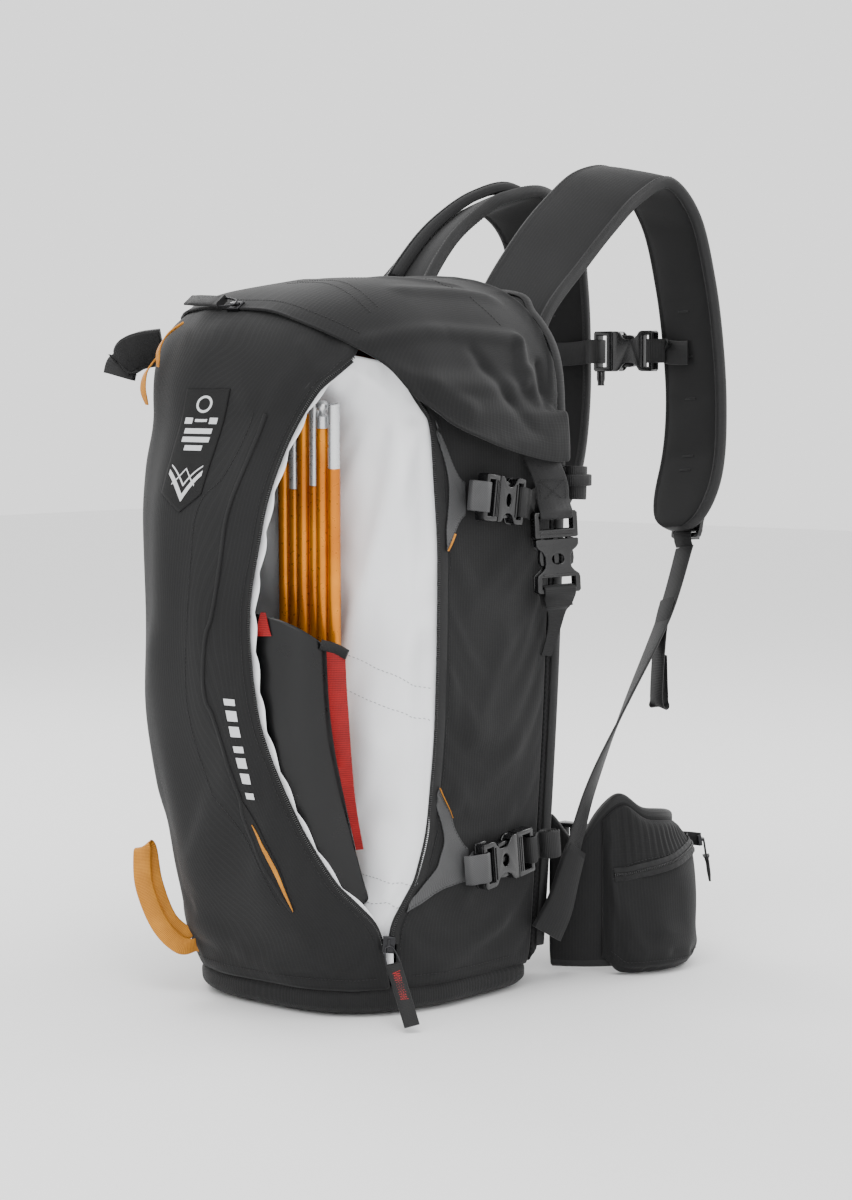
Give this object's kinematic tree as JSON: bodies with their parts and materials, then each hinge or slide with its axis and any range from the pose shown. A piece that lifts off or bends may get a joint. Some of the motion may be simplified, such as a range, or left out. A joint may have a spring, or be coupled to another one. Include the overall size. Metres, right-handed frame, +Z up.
{
  "type": "avalanche airbag backpack",
  "caption": "Ski touring backpack with a teardrop tool compartment, padded harness, hip belt and a stowed airbag worked by a strap handle.",
  "frame": {"origin": "centre of the flat base, on the floor", "axes": "+Z up; +Y is the way the wearer faces, so the harness is on the +Y side and the front panel faces -Y; +X is the wearer's right, the side of the teardrop opening"},
  "size_m": [0.356, 0.5111, 0.6359],
  "materials": {
    "shell_fabric": "charcoal woven ripstop with fine vertical ribs",
    "base_fabric": "coated heavy weave",
    "mesh_fabric": "black smooth backing and spacer mesh",
    "coated_tab": "coated tab with fine diagonal ribs",
    "black_webbing": "black woven webbing",
    "amber_webbing": "amber woven webbing",
    "white_lining": "white satin lining",
    "red_fabric": "red ribbed fabric",
    "buckle_plastic": "moulded black",
    "blade_finish": "black anodised",
    "amber_tube": "amber anodised",
    "cylinder_metal": "brushed",
    "frame_plastic": "moulded dark grey",
    "airbag_fabric": "folded orange-red nylon",
    "trigger_red": "red moulded",
    "cable_sheath": "black sheath"
  },
  "bodies": {
    "pack": {"front_panel": "shell_fabric", "right_side_panel": "shell_fabric", "left_side_panel": "shell_fabric", "top_cover": "shell_fabric", "right_shoulder_strap": "shell_fabric", "left_shoulder_strap": "shell_fabric", "trigger_sleeve": "shell_fabric", "right_hip_pocket": "shell_fabric", "left_hip_pocket": "shell_fabric", "base_panel": "base_fabric", "back_panel": "mesh_fabric", "lumbar_pad": "mesh_fabric", "right_hip_wing": "mesh_fabric", "left_hip_wing": "mesh_fabric", "right_upper_tab": "coated_tab", "right_lower_tab": "coated_tab", "right_lower_strap": "black_webbing", "left_lower_strap": "black_webbing", "right_belt_webbing": "black_webbing", "right_sternum_webbing": "black_webbing", "haul_loop": "black_webbing", "axe_keeper": "black_webbing", "cylinder_strap": "black_webbing", "ice_axe_loop": "amber_webbing", "tool_lining": "white_lining", "shovel_sleeve": "red_fabric", "right_upper_socket": "buckle_plastic", "right_lower_socket": "buckle_plastic", "right_lid_socket": "buckle_plastic", "left_lower_socket": "buckle_plastic", "left_lid_socket": "buckle_plastic", "hip_buckle_socket": "buckle_plastic", "sternum_socket": "buckle_plastic", "gas_cylinder": "cylinder_metal", "frame_sheet": "frame_plastic", "inflator_head": "frame_plastic", "airbag": "airbag_fabric", "trigger_cable": "cable_sheath"},
    "trigger_handle": {"trigger_handle": "trigger_red"},
    "valve_lever": {"valve_lever": "trigger_red"},
    "cylinder_collar": {"cylinder_collar": "cylinder_metal"},
    "sternum_plug": {"sternum_plug": "buckle_plastic", "left_sternum_webbing": "black_webbing"},
    "right_upper_plug": {"right_upper_plug": "buckle_plastic"},
    "right_lower_plug": {"right_lower_plug": "buckle_plastic", "right_lower_webbing": "black_webbing"},
    "right_lid_plug": {"right_lid_plug": "buckle_plastic", "right_lid_webbing": "black_webbing"},
    "left_lower_plug": {"left_lower_plug": "buckle_plastic"},
    "left_lid_plug": {"left_lid_plug": "buckle_plastic"},
    "hip_plug": {"hip_buckle_plug": "buckle_plastic", "left_belt_webbing": "black_webbing"},
    "main_zip_puller": {"main_zip_puller": "black_webbing"},
    "top_zip_puller": {"top_zip_puller": "black_webbing"},
    "right_pocket_puller": {"right_pocket_puller": "black_webbing"},
    "left_pocket_puller": {"left_pocket_puller": "black_webbing"},
    "shovel": {"shovel_blade": "blade_finish"},
    "probe": {"probe_pole": "amber_tube"},
    "right_ladder_lock": {"right_ladder_lock": "buckle_plastic"},
    "left_ladder_lock": {"left_ladder_lock": "buckle_plastic"}
  },
  "joints": [
    {"name": "trigger_pull", "type": "slide", "parent": "pack", "child": "trigger_handle", "axis": [-0.2474, 0.7963, -0.552], "range_m": [0, 0.04], "stiffness_N_per_m": 60},
    {"name": "valve_lever_turn", "type": "hinge", "parent": "pack", "child": "valve_lever", "pos_m": [-0.055, 0.0502, 0.334], "axis": [-1, 0, 0], "range_deg": [0, 26]},
    {"name": "collar_spin", "type": "hinge", "parent": "pack", "child": "cylinder_collar", "pos_m": [-0.055, 0.02, 0.2835], "axis": [0, 0, 1], "continuous": true},
    {"name": "sternum_release", "type": "slide", "parent": "pack", "child": "sternum_plug", "axis": [-1, 0, 0], "range_m": [0, 0.02]},
    {"name": "right_upper_release", "type": "slide", "parent": "pack", "child": "right_upper_plug", "axis": [0, -0.9924, 0.1228], "range_m": [0, 0.0155]},
    {"name": "right_lower_release", "type": "slide", "parent": "pack", "child": "right_lower_plug", "axis": [0, 0.995, 0.0995], "range_m": [0, 0.02]},
    {"name": "right_lid_release", "type": "slide", "parent": "pack", "child": "right_lid_plug", "axis": [-0.0399, -0.0399, 0.9984], "range_m": [0, 0.02]},
    {"name": "left_lower_release", "type": "slide", "parent": "pack", "child": "left_lower_plug", "axis": [0, 0.995, 0.0995], "range_m": [0, 0.02]},
    {"name": "left_lid_release", "type": "slide", "parent": "pack", "child": "left_lid_plug", "axis": [0.0399, -0.0399, 0.9984], "range_m": [0, 0.02]},
    {"name": "hip_release", "type": "slide", "parent": "pack", "child": "hip_plug", "axis": [-1, 0, 0], "range_m": [0, 0.02]},
    {"name": "main_zip_puller_swing", "type": "hinge", "parent": "pack", "child": "main_zip_puller", "pos_m": [0.10056, -0.0791, 0.05344], "axis": [-0.6318, -0.7452, -0.2133], "range_deg": [0, 55]},
    {"name": "top_zip_puller_swing", "type": "hinge", "parent": "pack", "child": "top_zip_puller", "pos_m": [-0.01032, -0.11713, 0.51458], "axis": [0.0519, 0.8, 0.5977], "range_deg": [0, 50]},
    {"name": "right_pocket_puller_swing", "type": "hinge", "parent": "pack", "child": "right_pocket_puller", "pos_m": [0.14805, 0.25936, 0.092], "axis": [0.6041, -0.7961, -0.0358], "range_deg": [0, 60]},
    {"name": "left_pocket_puller_swing", "type": "hinge", "parent": "pack", "child": "left_pocket_puller", "pos_m": [-0.14805, 0.25936, 0.092], "axis": [0.6041, 0.7961, 0.0358], "range_deg": [0, 60]},
    {"name": "shovel_lift", "type": "slide", "parent": "pack", "child": "shovel", "axis": [0, 0, 1], "range_m": [0, 0.025]},
    {"name": "probe_lift", "type": "slide", "parent": "pack", "child": "probe", "axis": [0.077, -0.0913, 0.9928], "range_m": [0, 0.02]},
    {"name": "right_ladder_lock_tilt", "type": "hinge", "parent": "pack", "child": "right_ladder_lock", "pos_m": [0.09031, 0.3259, 0.35518], "axis": [0.9767, -0.1952, 0.0893], "range_deg": [0, 25]},
    {"name": "left_ladder_lock_tilt", "type": "hinge", "parent": "pack", "child": "left_ladder_lock", "pos_m": [-0.06631, 0.3259, 0.35518], "axis": [0.9767, 0.1952, -0.0893], "range_deg": [0, 25]}
  ],
  "couplings": [
    {"joint": "valve_lever_turn", "follows": "trigger_pull", "rad_per_m": 11.295}
  ]
}
